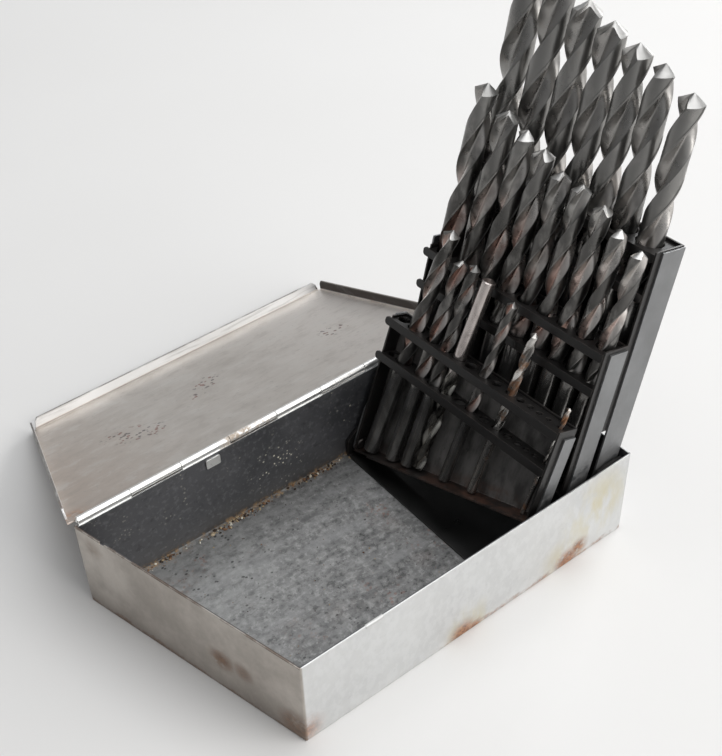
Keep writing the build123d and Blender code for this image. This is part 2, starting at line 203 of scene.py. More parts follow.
# ------------------------------------------------------------------ materials
def tray_material():
    m = Mat("tray_steel")
    x, y, z = m.xyz()
    # how far inside the walls a point is: front, hinge, right, slanted left
    side = m.add(m.add(x, m.mul(m.add(y, 0.0535), 0.2617)), 0.081)
    inside = m.mini(m.mini(m.add(y, 0.0535), m.sub(0.0535, y)), m.mini(m.sub(0.081, x), side))
    inside = m.mul(m.ramp(inside, 0.00035, 0.00055), m.ramp(z, 0.0004, 0.0006))
    on_floor = m.mul(inside, m.ramp(z, 0.0015, 0.0009))
    on_wall = m.mul(inside, m.sub(1.0, m.ramp(z, 0.0015, 0.0009)))

    cloud = m.noise(26, 5, 0.6, seed=1.3)
    fine = m.noise(420, 3, 0.6, seed=2.1)
    hammer = m.noise(1.0, 3, 0.6, vec=m.scaled((330, 330, 210), rot=(0.0, 0.5, 0.0)), seed=3.0)
    scuff = m.noise(1.0, 3, 0.7, vec=m.scaled((700, 90, 90), rot=(0, 0, 0.5)), seed=5.0)
    grain = m.noise(520, 4, 0.7, seed=7)
    rag = m.noise(90, 5, 0.65, seed=8)

    # outside: dull bare steel, brown-grey on the slanted end, which is also painted darker as painted shade because it
    # faces away from the light
    steel = m.mix(m.ramp(cloud, 0.35, 0.7), (0.72, 0.725, 0.72), (0.64, 0.645, 0.645))
    steel = m.mix(m.mul(m.ramp(hammer, 0.42, 0.62), 0.45), steel, (0.80, 0.805, 0.805))
    steel = m.mix(m.mul(m.ramp(fine, 0.56, 0.74), 0.18), steel, (0.50, 0.50, 0.50))
    on_left = m.ramp(side, 0.0012, 0.0004)
    drift = m.noise(1.0, 5, 0.65, vec=m.scaled((60, 28, 28)), seed=15)
    slant_tone_and_shade = m.mix(m.ramp(drift, 0.36, 0.64), (0.55, 0.51, 0.465), (0.38, 0.345, 0.31))
    slant_tone_and_shade = m.mix(m.mul(m.ramp(z, 0.012, 0.000), 0.45), slant_tone_and_shade, (0.22, 0.18, 0.155))
    slant_tone_and_shade = m.mix(m.mul(m.ramp(hammer, 0.50, 0.72), 0.22), slant_tone_and_shade, (0.60, 0.57, 0.53))
    steel = m.mix(on_left, steel, slant_tone_and_shade)

    # inside walls: charcoal with pale specks
    cluster = m.maxi(m.ball((-0.017, 0.0527, 0.017), 0.005, 0.017), m.ball((0.022, 0.0527, 0.024), 0.001, 0.008))
    specks = m.mul(m.ramp(m.cells(560), 0.30, 0.20), m.ramp(m.noise(170, 2, 0.5, seed=9), 0.46, 0.52))
    specks = m.mul(specks, m.math("ADD", m.mul(cluster, 1.0), m.mul(m.ramp(m.noise(50, 2, 0.5, seed=10), 0.54, 0.66), 0.32), clamp=True))
    specks = m.mul(specks, m.ramp(m.noise(330, 1, 0.5, seed=25), 0.32, 0.50, 0.25, 1.0))
    wall = m.mix(m.ramp(cloud, 0.34, 0.66), (0.040, 0.041, 0.045), (0.088, 0.088, 0.094))
    wall = m.mix(m.mul(m.ramp(fine, 0.50, 0.68), 0.60), wall, (0.145, 0.145, 0.152))
    wall = m.mix(m.mul(m.ramp(m.noise(260, 3, 0.6, seed=19), 0.56, 0.70), 0.5), wall, (0.030, 0.030, 0.033))
    wall = m.mix(m.mul(m.ramp(scuff, 0.60, 0.8), 0.20), wall, (0.13, 0.13, 0.13))
    wall = m.mix(m.mul(m.ramp(m.mul(z, m.ramp(fine, 0.3, 0.7, 0.7, 1.3)), 0.016, 0.001), 0.30), wall, (0.13, 0.125, 0.12))
    wall = m.mix(m.mul(specks, 0.95), wall, (0.78, 0.74, 0.62))

    # floor inside: granular grey with dark dots, paler and greener towards the far left corner
    mott = m.noise(1.0, 6, 0.72, vec=m.scaled((130, 300, 130), rot=(0, 0, 0.35)), distort=0.5, seed=4)
    sweep = m.noise(1.0, 4, 0.6, vec=m.scaled((24, 150, 60), rot=(0, 0, 0.20)), distort=0.3, seed=11)
    flo = m.mix(m.ramp(mott, 0.38, 0.62), (0.185, 0.185, 0.184), (0.285, 0.283, 0.279))
    grit = m.noise(380, 3, 0.7, seed=24)
    flo = m.mix(m.mul(m.ramp(grit, 0.52, 0.64), 0.65), flo, (0.42, 0.418, 0.41))
    flo = m.mix(m.mul(m.ramp(grit, 0.47, 0.36), 0.62), flo, (0.070, 0.070, 0.069))
    flo = m.mix(m.mul(m.ramp(sweep, 0.44, 0.68), 0.55), flo, (0.32, 0.32, 0.32))
    flo = m.mix(m.mul(m.ramp(sweep, 0.46, 0.30), 0.35), flo, (0.10, 0.10, 0.10))
    pale = m.ball((-0.075, 0.043, 0.0008), 0.010, 0.060)
    flo = m.mix(m.mul(pale, m.ramp(mott, 0.40, 0.60, 0.30, 0.65)), flo, (0.36, 0.365, 0.36))
    peppers = m.mul(m.ramp(m.cells(430, vec=m.scaled((1.0, 1.3, 1.0), rot=(0, 0, 0.35))), 0.34, 0.20), m.ramp(m.noise(140, 2, 0.5, seed=12), 0.53, 0.60))
    peppers = m.mul(peppers, m.ramp(m.add(m.mul(pale, 0.20), m.noise(34, 3, 0.6, seed=13)), 0.46, 0.60))
    flo = m.mix(m.mul(peppers, 0.80), flo, (0.030, 0.030, 0.030))
    reds = m.mul(m.ramp(m.cells(520), 0.42, 0.28), m.ramp(m.noise(120, 2, 0.5, seed=26), 0.42, 0.52))
    reds = m.mul(reds, m.maxi(m.ramp(side, 0.024, 0.004), m.mul(m.ramp(m.noise(40, 3, 0.6, seed=27), 0.56, 0.66), 0.5)))
    flo = m.mix(m.mul(reds, 0.80), flo, (0.28, 0.110, 0.068))
    worn = m.ramp(m.noise(26, 3, 0.6, seed=16), 0.50, 0.68)
    flo = m.mix(m.mul(worn, 0.12), flo, (0.085, 0.088, 0.088))

    # rust: crumbly along the floor's joints
    near_back = m.ramp(m.add(y, m.mul(rag, 0.009)), 0.0540, 0.0572)
    near_front = m.ramp(m.sub(y, m.mul(rag, 0.008)), -0.0518, -0.0562)
    near_left = m.ramp(m.sub(side, m.mul(rag, 0.010)), 0.0022, -0.0045)
    joints = m.maxi(m.mul(near_back, 1.0), m.maxi(m.mul(near_left, 0.9), m.mul(near_front, 0.6)))
    patchy = m.ramp(m.noise(58, 4, 0.6, seed=20), 0.36, 0.58, 0.25, 1.0)
    low = m.ramp(z, 0.0040, 0.0008)
    crust_in = m.mul(m.mul(joints, m.mul(low, patchy)), m.mul(inside, m.ramp(grain, 0.38, 0.60)))
    reddish = m.mul(m.ramp(side, 0.016, 0.002), m.ramp(m.noise(70, 4, 0.65, seed=22), 0.42, 0.66))
    haze = m.mul(on_floor, m.maxi(m.mul(m.ramp(m.noise(30, 4, 0.6, seed=21), 0.54, 0.74), 0.22), m.mul(reddish, 0.60)))

    # rust outside: two flares on the front wall's lower edge with a thin line between, spots on the slanted end
    out = m.sub(1.0, inside)
    on_front = m.ramp(y, -0.0526, -0.0532)
    wave = m.add(z, m.mul(m.sub(rag, 0.5), 0.012))
    flare = m.maxi(m.ball((-0.0060, -0.0535, 0.0010), 0.0020, 0.0098), m.ball((0.0000, -0.0535, 0.0005), 0.0010, 0.0060))
    flare = m.maxi(flare, m.maxi(m.ball((0.0500, -0.0535, 0.0020), 0.0025, 0.0095), m.ball((0.0560, -0.0535, 0.0060), 0.0010, 0.0070)))
    flare = m.mul(flare, m.ramp(m.add(rag, m.mul(grain, 0.5)), 0.52, 0.74))
    line = m.mul(m.ramp(wave, 0.0034, 0.0006), m.mul(m.ramp(x, -0.022, -0.010), m.ramp(m.noise(75, 3, 0.6, seed=17), 0.40, 0.58)))
    front_rust = m.mul(on_front, m.maxi(m.mul(flare, 0.95), m.mul(line, 0.75)))
    blotch = m.maxi(m.ball((-0.0907, -0.0160, 0.0175), 0.0010, 0.0085), m.mul(m.ball((-0.0880, -0.0260, 0.0180), 0.0010, 0.0070), 0.7))
    blotch = m.maxi(blotch, m.mul(m.ball((-0.0815, -0.0500, 0.0060), 0.0020, 0.0120), 0.95))
    blotch = m.maxi(blotch, m.mul(m.ball((-0.106, 0.045, 0.036), 0.001, 0.007), 0.4))
    blotch = m.mul(m.mul(blotch, m.ramp(m.add(rag, m.mul(grain, 0.35)), 0.42, 0.70)), 0.85)
    foot = m.mul(m.mul(on_left, m.ramp(wave, 0.0030, 0.0002)), 0.6)
    crust_out = m.mul(out, m.maxi(front_rust, m.maxi(blotch, foot)))
    stain = m.maxi(m.ball((0.0650, -0.0535, 0.0240), 0.004, 0.024), m.mul(m.ball((0.0480, -0.0535, 0.0060), 0.004, 0.016), 0.7))
    stain = m.maxi(stain, m.mul(m.ball((-0.004, -0.0535, 0.004), 0.003, 0.016), 0.8))
    yellow = m.mul(m.mul(out, on_front), m.mul(stain, m.ramp(m.noise(1.0, 4, 0.6, vec=m.scaled((120, 60, 45), rot=(0, 0.5, 0)), seed=18), 0.36, 0.62)))

    col = m.mix(on_wall, steel, wall)
    col = m.mix(on_floor, col, flo)
    col = m.mix(m.mul(yellow, 0.72), col, (0.66, 0.60, 0.39))
    col = m.mix(haze, col, (0.20, 0.13, 0.10))
    rust = m.mix(m.ramp(grain, 0.35, 0.65), (0.15, 0.062, 0.036), (0.40, 0.195, 0.100))
    rust = m.mix(m.mul(on_left, 0.65), rust, (0.165, 0.112, 0.076))
    rust_in = m.mix(m.ramp(grain, 0.42, 0.60), (0.032, 0.022, 0.016), (0.36, 0.23, 0.115))
    col = m.mix(crust_in, col, rust_in)
    col = m.mix(crust_out, col, rust)
    # dark line down the square corner and along the left rim
    corner = m.mul(out, m.mul(m.ramp(x, 0.0803, 0.0808), m.ramp(y, -0.0520, -0.0526)))
    col = m.mix(m.mul(corner, 0.85), col, (0.10, 0.09, 0.08))
    left_rim = m.mul(m.mul(m.ramp(side, 0.0020, 0.0008), m.ramp(z, 0.0426, 0.0429)), m.ramp(rag, 0.38, 0.56))
    col = m.mix(m.mul(left_rim, 0.75), col, (0.11, 0.075, 0.055))

    crust = m.maxi(crust_in, crust_out)
    rough = m.mixf(inside, m.ramp(hammer, 0.3, 0.7, 0.30, 0.44), m.ramp(cloud, 0.3, 0.7, 0.36, 0.54))
    rough = m.mixf(crust, rough, 0.9)
    metal = m.mixf(crust, m.mixf(on_wall, m.mixf(on_floor, 0.95, 0.60), 0.20), 0.05)
    dents = m.noise(18, 2, 0.4, seed=31)
    h = m.add(m.mul(dents, 2.0), m.add(m.mul(hammer, 0.30), m.mul(fine, 0.10)))
    h = m.add(h, m.mul(on_floor, m.mul(mott, 0.6)))
    h = m.add(h, m.mul(m.mul(crust, grain), 1.6))
    return m.finish(col, rough, metal, h, dist=0.0004, strength=0.35, bevel=0.0002)


def lid_material(open_angle):
    m = Mat("lid_steel")
    x, y, z = m.xyz()
    # distance inward from the hinge line along the lid, and height off its inner face
    a = math.radians(open_angle)
    dy, dz = -math.cos(a), math.sin(a)
    along = m.add(m.mul(m.sub(y, 0.055), dy), m.mul(m.sub(z, 0.0435), dz))
    ny, nz = -math.sin(a), -math.cos(a)          # out of the lid's inner face when it lies open
    off = m.add(m.mul(m.sub(y, 0.055), ny), m.mul(m.sub(z, 0.0435), nz))   # -0.0001 at the inner face, grows up the flanges
    inner = m.ramp(off, -0.00055, -0.00035)
    flange = m.ramp(off, 0.0006, 0.0012)
    cloud = m.noise(24, 5, 0.62, seed=41)
    warm = m.noise(9, 3, 0.5, seed=42)
    fine = m.noise(430, 3, 0.6, seed=43)
    brush = m.noise(1.0, 4, 0.65, vec=m.scaled((35, 420, 420)), seed=44)
    scuff = m.noise(1.0, 3, 0.7, vec=m.scaled((60, 600, 60), rot=(0, 0, 0.7)), seed=45)
    col = m.mix(m.ramp(cloud, 0.3, 0.72), (0.845, 0.79, 0.735), (0.735, 0.685, 0.635))
    leftish = m.ramp(x, -0.03, -0.115)
    col = m.mix(m.mul(leftish, m.ramp(warm, 0.3, 0.7, 0.30, 0.75)), col, (0.68, 0.545, 0.455))
    # paler towards the square end: painted light falling from the right
    col = m.mix(m.mul(m.ramp(x, 0.00, 0.060), 0.75), col, (0.93, 0.875, 0.83))
    mott = m.noise(1.0, 5, 0.68, vec=m.scaled((75, 130, 130)), seed=56)
    col = m.mix(m.mul(m.ramp(mott, 0.50, 0.64), 0.50), col, (0.90, 0.865, 0.82))
    col = m.mix(m.mul(m.ramp(mott, 0.50, 0.34), 0.32), col, (0.52, 0.465, 0.42))
    col = m.mix(m.mul(m.ramp(brush, 0.48, 0.70), 0.20), col, (0.76, 0.745, 0.72))
    col = m.mix(m.mul(m.ramp(brush, 0.50, 0.32), 0.14), col, (0.38, 0.365, 0.35))
    col = m.mix(m.mul(m.ramp(scuff, 0.60, 0.8), 0.16), col, (0.36, 0.33, 0.31))
    col = m.mix(m.mul(m.ramp(fine, 0.58, 0.74), 0.30), col, (0.40, 0.38, 0.36))
    # flanges: the free one painted bright, a painted highlight of the front light; the one at the square end stained
    # and painted dark, partly painted shade
    square = m.ramp(x, 0.0790, 0.0797)
    col = m.mix(m.mul(flange, 0.85), col, (0.80, 0.81, 0.82))
    col = m.mix(m.mul(flange, m.ramp(brush, 0.47, 0.64, 0.0, 0.55)), col, (0.50, 0.495, 0.485))
    # painted shade: a dark line in the crease at the root of the flanges
    root_shade = m.mul(m.ramp(m.math("ABSOLUTE", m.sub(off, 0.0003)), 0.0006, 0.0002), m.ramp(x, 0.078, 0.070))
    col = m.mix(m.mul(root_shade, 0.55), col, (0.12, 0.11, 0.10))
    stained_shaded_end = m.mul(m.mul(square, flange), m.ramp(m.noise(1.0, 4, 0.6, vec=m.scaled((40, 40, 160)), seed=55), 0.25, 0.50, 0.80, 1.0))
    col = m.mix(stained_shaded_end, col, (0.045, 0.032, 0.026))
    # painted shadow: a dark line along the flanges' rim
    rim_shadow_line = m.mul(m.ramp(off, 0.00465, 0.0049), m.ramp(m.noise(70, 3, 0.6, seed=57), 0.30, 0.55, 0.35, 1.0))
    col = m.mix(m.mul(rim_shadow_line, 0.8), col, (0.15, 0.13, 0.115))
    # clusters of small dark pits
    pits = m.ramp(m.cells(430), 0.44, 0.30)
    some = m.ramp(m.noise(190, 2, 0.5, seed=47), 0.44, 0.50)
    where = None
    for c, r in PIT_CLUSTERS:
        b = m.ball(c, r * 0.55, r)
        where = b if where is None else m.maxi(where, b)
    strewn = m.mul(m.ramp(m.noise(20, 2, 0.5, seed=48), 0.66, 0.74), 0.45)
    pit = m.mul(m.mul(pits, some), m.mul(inner, m.maxi(where, strewn)))
    col = m.mix(m.mul(pit, 0.85), col, m.mix(m.ramp(m.noise(300, 1, 0.5, seed=58), 0.48, 0.56), (0.055, 0.040, 0.038), (0.21, 0.085, 0.060)))
    # rust at the far left corner, along the root of the flanges and at the flange's hinge end
    grain = m.noise(520, 4, 0.7, seed=50)
    rag = m.noise(80, 4, 0.6, seed=51)
    hinge_end = m.mul(m.ramp(along, 0.014, 0.003), m.ramp(x, -0.096, -0.106))
    ends = m.maxi(hinge_end, m.mul(m.mul(m.ramp(off, 0.0018, 0.0002), 0.35), m.mul(m.ramp(off, -0.0001, 0.0002), m.ramp(rag, 0.58, 0.68))))
    spots = m.mul(m.ramp(m.noise(36, 4, 0.7, seed=52), 0.70, 0.78), 0.45)
    crust = m.mul(m.maxi(ends, spots), m.ramp(m.add(rag, m.mul(grain, 0.4)), 0.52, 0.76))
    rust = m.mix(m.ramp(grain, 0.35, 0.65), (0.12, 0.05, 0.03), (0.36, 0.18, 0.085))
    col = m.mix(crust, col, rust)
    edge = m.edge(0.0005)
    col = m.mix(m.mul(edge, 0.4), col, (0.70, 0.69, 0.67))
    rough = m.mixf(crust, m.ramp(m.add(m.mul(cloud, 0.6), m.mul(brush, 0.4)), 0.3, 0.7, 0.36, 0.50), 0.9)
    metal = m.mixf(m.maxi(m.maxi(crust, pit), stained_shaded_end), 0.72, 0.1)
    dents = m.noise(16, 2, 0.4, seed=53)
    h = m.add(m.mul(dents, 2.0), m.add(m.mul(brush, 0.10), m.mul(fine, 0.06)))
    h = m.sub(h, m.mul(pit, 0.5))
    return m.finish(col, rough, metal, h, dist=0.0004, strength=0.35, bevel=0.0003)


def plated_material():
    m = Mat("plated_steel")
    cloud = m.noise(70, 4, 0.6, seed=61)
    grain = m.noise(600, 3, 0.7, seed=62)
    col = m.mix(m.ramp(cloud, 0.35, 0.7), (0.95, 0.95, 0.93), (0.84, 0.83, 0.80))
    col = m.mix(m.mul(m.ramp(grain, 0.52, 0.68), 0.35), col, (0.52, 0.50, 0.46))
    patch = m.mul(m.ramp(m.noise(30, 4, 0.65, seed=63), 0.52, 0.62), m.ramp(grain, 0.35, 0.6))
    col = m.mix(m.mul(patch, 0.70), col, (0.34, 0.235, 0.14))
    x, y, z = m.xyz()
    col = m.mix(m.mul(m.ramp(y, -0.050, -0.052), 0.9), col, (0.62, 0.62, 0.61))
    rough = m.mixf(patch, m.ramp(cloud, 0.3, 0.7, 0.34, 0.50), 0.75)
    metal = m.mixf(patch, 1.0, 0.2)
    return m.finish(col, rough, metal, m.add(m.mul(cloud, 0.6), m.mul(grain, 0.3)), dist=0.0002, strength=0.35, bevel=0.0002)


def enamel_material(name, deep, pale, brownish, panel=1.0):
    m = Mat(name)
    x, y, z = m.xyz()
    cloud = m.noise(40, 5, 0.6, seed=71)
    fine = m.noise(700, 3, 0.6, seed=72)
    rag = m.noise(120, 4, 0.65, seed=73)
    scratch = m.noise(1.0, 3, 0.7, vec=m.scaled((800, 60, 60), rot=(0.2, 0.9, 0.3)), seed=74)
    col = m.mix(m.ramp(cloud, 0.3, 0.7), deep, pale)
    col = m.mix(m.mul(m.ramp(scratch, 0.68, 0.84), 0.30), col, (0.085, 0.08, 0.08))
    brown = m.mul(m.ramp(m.noise(32, 4, 0.65, seed=75), 0.56, 0.72), m.ramp(rag, 0.40, 0.62))
    col = m.mix(m.mul(brown, brownish), col, (0.050, 0.030, 0.022))
    # the front rack's panel is lighter low down, dust and a painted sheen, and its lip rusty towards the near end
    back = m.sub(m.mul(m.sub(z, 0.007), 0.342), m.mul(m.sub(x, 0.025), 0.940))
    low = m.mul(m.mul(m.ramp(z, 0.066, 0.056), m.ramp(back, -0.0032, -0.0039)), m.mul(m.ramp(back, -0.0060, -0.0053), panel))
    dust_and_sheen = m.noise(1.0, 4, 0.6, vec=m.scaled((200, 200, 26), rot=(0, 0.35, 0)), seed=70)
    col = m.mix(m.mul(low, m.ramp(dust_and_sheen, 0.34, 0.62, 0.35, 1.0)), col, (0.20, 0.19, 0.182))
    above = m.add(m.sub(z, 0.0332), m.mul(m.add(y, 0.0491), 0.2933))
    front = m.mul(m.ramp(back, -0.0062, -0.0053), m.mul(m.ramp(x, 0.056, 0.050), panel))
    lip = m.mul(m.mul(m.ramp(above, 0.0050, 0.0012), m.ramp(y, 0.035, -0.046, 0.25, 1.0)), front)
    col = m.mix(m.mul(lip, m.ramp(rag, 0.42, 0.62, 0.05, 0.60)), col, (0.14, 0.068, 0.045))
    edge = m.edge(0.0004, 0.03, 0.22)
    worn = m.mul(edge, m.ramp(rag, 0.36, 0.58))
    col = m.mix(m.mul(worn, 0.55), col, (0.16, 0.135, 0.12))
    rough = m.mixf(brown, m.ramp(cloud, 0.3, 0.7, 0.26, 0.48), 0.60)
    metal = m.mixf(worn, 0.0, 0.5)
    h = m.add(m.mul(m.noise(30, 2, 0.4, seed=76), 1.2), m.add(m.mul(fine, 0.07), m.mul(rag, 0.10)))
    return m.finish(col, rough, metal, h, dist=0.0003, strength=0.35, bevel=0.0003, spec=0.42)


def arm_material():
    m = Mat("arm_steel")
    x, y, z = m.xyz()
    cloud = m.noise(34, 4, 0.6, seed=77)
    fine = m.noise(900, 3, 0.6, seed=78)
    rag = m.noise(150, 4, 0.65, seed=79)
    brush = m.noise(1.0, 3, 0.6, vec=m.scaled((900, 300, 90), rot=(0, -0.24, 0)), seed=80)
    col = m.mix(m.ramp(cloud, 0.3, 0.7), (0.26, 0.264, 0.268), (0.19, 0.192, 0.195))
    col = m.mix(m.mul(m.ramp(brush, 0.45, 0.70), 0.14), col, (0.36, 0.36, 0.36))
    # darker towards the bottom
    darker_low_down = m.mul(m.ramp(m.add(z, m.mul(m.sub(rag, 0.5), 0.03)), 0.056, 0.040), m.ramp(rag, 0.42, 0.58))
    col = m.mix(m.mul(darker_low_down, 0.6), col, (0.045, 0.038, 0.034))
    spots = m.mul(m.ramp(rag, 0.66, 0.74), 0.45)
    col = m.mix(spots, col, (0.09, 0.08, 0.07))
    inner = m.ramp(m.math("ABSOLUTE", y), 0.0485, 0.0481)
    col = m.mix(m.mul(inner, 0.9), col, (0.012, 0.012, 0.012))
    rough = m.mixf(darker_low_down, m.ramp(brush, 0.3, 0.7, 0.34, 0.48), 0.7)
    return m.finish(col, rough, m.mixf(m.maxi(darker_low_down, inner), 0.85, 0.1), m.add(m.mul(fine, 0.15), m.mul(brush, 0.3)), dist=0.0001, strength=0.3, bevel=0.0002)


def attribute(m, name):
    n = m.nt.nodes.new("ShaderNodeAttribute")
    n.attribute_name = name
    return n.outputs["Fac"]


def drill_material():
    m = Mat("drill_steel")
    x, y, z = m.xyz()
    cloud = m.noise(55, 4, 0.6, seed=81)
    fine = m.noise(900, 3, 0.6, seed=82)
    rag = m.noise(160, 4, 0.65, seed=83)
    tone = m.noise(26, 2, 0.5, seed=84)
    f, mg, t, sh, he = (attribute(m, k) for k in ("flute", "margin", "tip", "shank", "heel"))
    col = m.mix(m.ramp(cloud, 0.3, 0.7), (0.065, 0.063, 0.060), (0.115, 0.111, 0.106))
    col = m.mix(m.mul(f, 0.9), col, m.mix(m.ramp(rag, 0.35, 0.62), (0.20, 0.195, 0.185), (0.36, 0.35, 0.335)))
    bronze = m.mul(m.mul(f, m.ramp(tone, 0.36, 0.54, 0.0, 0.85)), m.ramp(z, 0.140, 0.095, 0.12, 1.0))
    col = m.mix(bronze, col, (0.42, 0.225, 0.175))
    # painted glints: bright streaks on the flutes' heels, and brighter flutes and tips on the drills at the near end,
    # low down
    heel_glint = m.mul(he, m.ramp(m.noise(1.0, 3, 0.6, vec=m.scaled((110, 110, 70), rot=(0, 0.25, 0)), seed=87), 0.36, 0.56, 0.20, 1.0))
    near = m.mul(m.ramp(y, -0.010, -0.034), m.ramp(z, 0.165, 0.140))
    col = m.mix(m.math("MULTIPLY_ADD", near, m.mul(f, 0.35), m.mul(heel_glint, 0.85), clamp=True), col, (0.74, 0.70, 0.665))
    # painted light spill: the upper parts of the far drills lighter grey
    upper_light_spill = m.mul(m.ramp(z, 0.115, 0.170), m.ramp(x, 0.040, 0.075))
    col = m.mix(m.mul(upper_light_spill, 0.72), col, (0.30, 0.295, 0.285))
    col = m.mix(m.mul(mg, m.ramp(rag, 0.35, 0.6, 0.0, 0.40)), col, (0.36, 0.35, 0.33))
    # shanks lighter and streaked along their length: worn steel, lightened further as a painted glint because they sit
    # in shade
    col = m.mix(m.mul(sh, 0.7), col, m.mix(m.ramp(m.noise(1.0, 2, 0.5, vec=m.scaled((200, 200, 60)), seed=85), 0.35, 0.65), (0.22, 0.213, 0.206), (0.42, 0.408, 0.395)))
    ground = m.mul(t, m.maxi(m.mul(near, 1.0), m.ramp(m.noise(48, 2, 0.5, seed=86), 0.42, 0.60, 0.12, 0.75)))
    col = m.mix(m.mul(ground, m.ramp(rag, 0.25, 0.6, 0.60, 0.95)), col, (0.66, 0.65, 0.635))
    bare = m.mul(m.mul(m.sub(1.0, f), m.sub(1.0, t)), m.ramp(m.noise(1.0, 4, 0.65, vec=m.scaled((150, 150, 70), rot=(0, 0.25, 0)), seed=88), 0.48, 0.66))
    col = m.mix(m.mul(bare, 0.45), col, (0.34, 0.33, 0.315))
    dust = m.mul(m.ramp(rag, 0.64, 0.76), 0.20)
    col = m.mix(dust, col, (0.20, 0.17, 0.14))
    rough = m.mixf(t, m.mixf(f, m.ramp(cloud, 0.3, 0.7, 0.24, 0.38), m.ramp(rag, 0.3, 0.7, 0.22, 0.40)), 0.34)
    rough = m.mixf(m.mul(sh, 0.8), rough, 0.22)
    return m.finish(col, rough, 0.9, m.add(m.mul(fine, 0.12), m.mul(rag, 0.15)), dist=0.0001, strength=0.25)


def shiny_drill_material():
    m = Mat("drill_steel_bright")
    rag = m.noise(180, 4, 0.65, seed=91)
    f = attribute(m, "flute")
    rust = m.mul(m.ramp(m.noise(90, 4, 0.6, seed=92), 0.50, 0.60), m.ramp(rag, 0.4, 0.6))
    col = m.mix(m.ramp(rag, 0.3, 0.7), (0.62, 0.60, 0.57), (0.36, 0.34, 0.32))
    col = m.mix(m.mul(f, 0.6), col, (0.14, 0.13, 0.12))
    col = m.mix(m.mul(rust, 0.8), col, (0.36, 0.17, 0.075))
    rough = m.mixf(rust, m.ramp(rag, 0.3, 0.7, 0.16, 0.30), 0.7)
    return m.finish(col, rough, 0.95, rag, dist=0.0001, strength=0.2)


def shank_material():
    m = Mat("drill_shank_worn")
    rag = m.noise(140, 4, 0.65, seed=95)
    brush = m.noise(1.0, 2, 0.5, vec=m.scaled((260, 260, 60)), seed=96)
    f, sh = attribute(m, "flute"), attribute(m, "shank")
    dark = m.mix(m.ramp(rag, 0.4, 0.6), (0.05, 0.048, 0.045), (0.24, 0.23, 0.21))
    col = m.mix(m.ramp(brush, 0.3, 0.7), (0.60, 0.545, 0.52), (0.40, 0.36, 0.345))
    col = m.mix(m.mul(m.ramp(rag, 0.58, 0.72), 0.4), col, (0.14, 0.11, 0.10))
    col = m.mix(sh, m.mix(f, dark, (0.62, 0.60, 0.55)), col)
    return m.finish(col, m.ramp(rag, 0.3, 0.7, 0.18, 0.28), 0.95, brush, dist=0.0001, strength=0.05)


def rivet_material():
    m = Mat("rivet_steel")
    rag = m.noise(200, 4, 0.6, seed=97)
    col = m.mix(m.ramp(rag, 0.35, 0.65), (0.06, 0.058, 0.056), (0.20, 0.18, 0.165))
    return m.finish(col, m.ramp(rag, 0.3, 0.7, 0.3, 0.5), 0.8, rag, dist=0.0001, strength=0.3, bevel=0.0002)


def crumb_material():
    m = Mat("rust_crumb")
    grain = m.noise(700, 3, 0.6, seed=98)
    tint = attribute(m, "tint")
    col = m.mix(m.ramp(tint, 0.30, 0.50), (0.035, 0.024, 0.018), (0.20, 0.105, 0.055))
    col = m.mix(m.ramp(tint, 0.60, 0.75), col, (0.40, 0.31, 0.19))
    col = m.mix(m.ramp(tint, 0.90, 0.94), col, (0.74, 0.72, 0.62))
    col = m.mix(m.mul(m.ramp(grain, 0.45, 0.70), 0.4), col, (0.10, 0.06, 0.04))
    return m.finish(col, 0.9, 0.0, grain, dist=0.0002, strength=0.5)


def floor_material():
    m = Mat("pale_floor")
    soft = m.noise(1.4, 4, 0.6, seed=101)
    col = m.mix(m.ramp(soft, 0.3, 0.7), (0.755, 0.748, 0.74), (0.72, 0.71, 0.70))
    return m.finish(col, 0.75, 0.0, m.noise(9, 4, 0.6, seed=102), dist=0.0006, strength=0.2, spec=0.3)


LID_OPEN = 202.8


def lid_point(px, depth_in):
    """A point on the lid's inner face: px along X, depth_in from the hinge axis."""
    a = math.radians(LID_OPEN)
    return (px, 0.055 - depth_in * math.cos(a), 0.0435 + depth_in * math.sin(a))


PIT_CLUSTERS = [(lid_point(-0.0575, 0.051), 0.011), (lid_point(-0.050, 0.045), 0.008), (lid_point(-0.064, 0.056), 0.008),
                (lid_point(-0.012, 0.066), 0.009), (lid_point(-0.022, 0.056), 0.005), (lid_point(0.052, 0.053), 0.009)]

MATS = {
    "tray_steel": tray_material(), "lid_steel": lid_material(LID_OPEN), "plated_steel": plated_material(),
    "black_enamel": enamel_material("black_enamel", (0.0085, 0.0080, 0.0078), (0.020, 0.0185, 0.0178), 0.42), "drill_steel": drill_material(), "rivet_steel": rivet_material(),
    "arm_steel": arm_material(),
}
MATS["bright"] = shiny_drill_material()
MATS["bracket"] = enamel_material("black_enamel_bracket", (0.005, 0.005, 0.005), (0.009, 0.0086, 0.0082), 0.10, 0.0)
MATS["shank"] = shank_material()

slot_of = {s["node"]: s["material_slot"] for s in frame["record"]["subparts"]}
for name, ob in frame["nodes"].items():
    mat = MATS["bracket" if name == "rack_bracket" else slot_of[name]]
    if not ob.material_slots:
        ob.data.materials.append(mat)
    for s in ob.material_slots:
        s.material = mat

# ------------------------------------------------------------------ twist drills
RACKS = {
    "front": dict(px=0.1060, pz=0.0070, lean=20.0, lip_near=0.0279, lip_far=-0.0031, up=0.066, low=0.0494, row=0.0),
    "middle": dict(px=0.1333, pz=0.0205, lean=14.0, lip_near=0.015, lip_far=0.015, up=0.077, low=0.062, row=0.002),
    "back": dict(px=0.1536, pz=0.0358, lean=13.0, lip_near=0.0226, lip_far=0.0226, up=0.097, low=0.0805, row=0.0031),
}
NEAR_Y, FAR_Y = 0.0044, 0.1036
